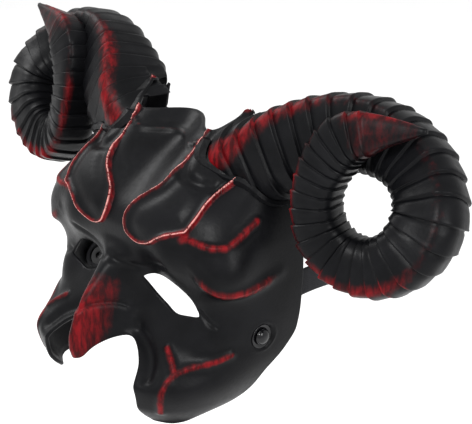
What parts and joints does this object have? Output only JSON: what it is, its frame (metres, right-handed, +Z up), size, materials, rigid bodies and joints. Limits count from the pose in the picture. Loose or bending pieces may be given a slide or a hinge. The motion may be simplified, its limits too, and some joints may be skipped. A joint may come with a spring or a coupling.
{
  "type": "ram-horned devil half-mask",
  "caption": "Devil half-mask with hooked nose, open mouth and coiled ram horns, held on the head by a riveted strap.",
  "frame": {"origin": "middle of the flat rear face of the forehead pad, where the mask rests on the wearer", "axes": "+X to the wearer's left, -Y the way the face looks, +Y out of the pad's rear face towards the wearer, +Z up"},
  "size_m": [0.413, 0.2508, 0.2081],
  "materials": {
    "mask": "black satin paint with dark red brushed on the raised edges",
    "horn": "black satin paint, dark red dry-brushed on keel, ring edges and tip",
    "seat": "black satin paint",
    "plate": "plain black",
    "screw": "zinc plated",
    "cap": "glossy black snap cap",
    "washer": "black nylon",
    "webbing": "black woven elastic",
    "fitting": "black moulded",
    "foam": "black cloth-faced foam"
  },
  "bodies": {
    "mask": {"mask_shell": "mask", "horn_left": "horn", "horn_right": "horn", "horn_seat_left": "seat", "horn_seat_right": "seat", "horn_backing_plate_left": "plate", "horn_backing_plate_right": "plate", "horn_screw_front_left": "screw", "horn_screw_front_right": "screw", "horn_screw_rear_left": "screw", "horn_screw_rear_right": "screw", "rivet_cap_left": "cap", "rivet_cap_right": "cap", "rivet_ring_left": "cap", "rivet_ring_right": "cap", "rivet_washer_left": "washer", "rivet_washer_right": "washer", "forehead_pad": "foam", "cheek_pad_left": "foam", "cheek_pad_right": "foam"},
    "strap": {"strap_left": "webbing", "strap_right": "webbing"},
    "slider": {"strap_slider": "fitting"},
    "keeper": {"strap_keeper": "fitting"}
  },
  "joints": [
    {"name": "strap_swing", "type": "hinge", "parent": "mask", "child": "strap", "pos_m": [0, 0.025, -0.065], "axis": [1, 0, 0], "range_deg": [-20, 30]},
    {"name": "slider_travel", "type": "slide", "parent": "strap", "child": "slider", "axis": [1, 0, 0], "range_m": [-0.006, 0.008]},
    {"name": "keeper_travel", "type": "slide", "parent": "strap", "child": "keeper", "axis": [1, 0, 0], "range_m": [-0.004, 0.008]}
  ]
}
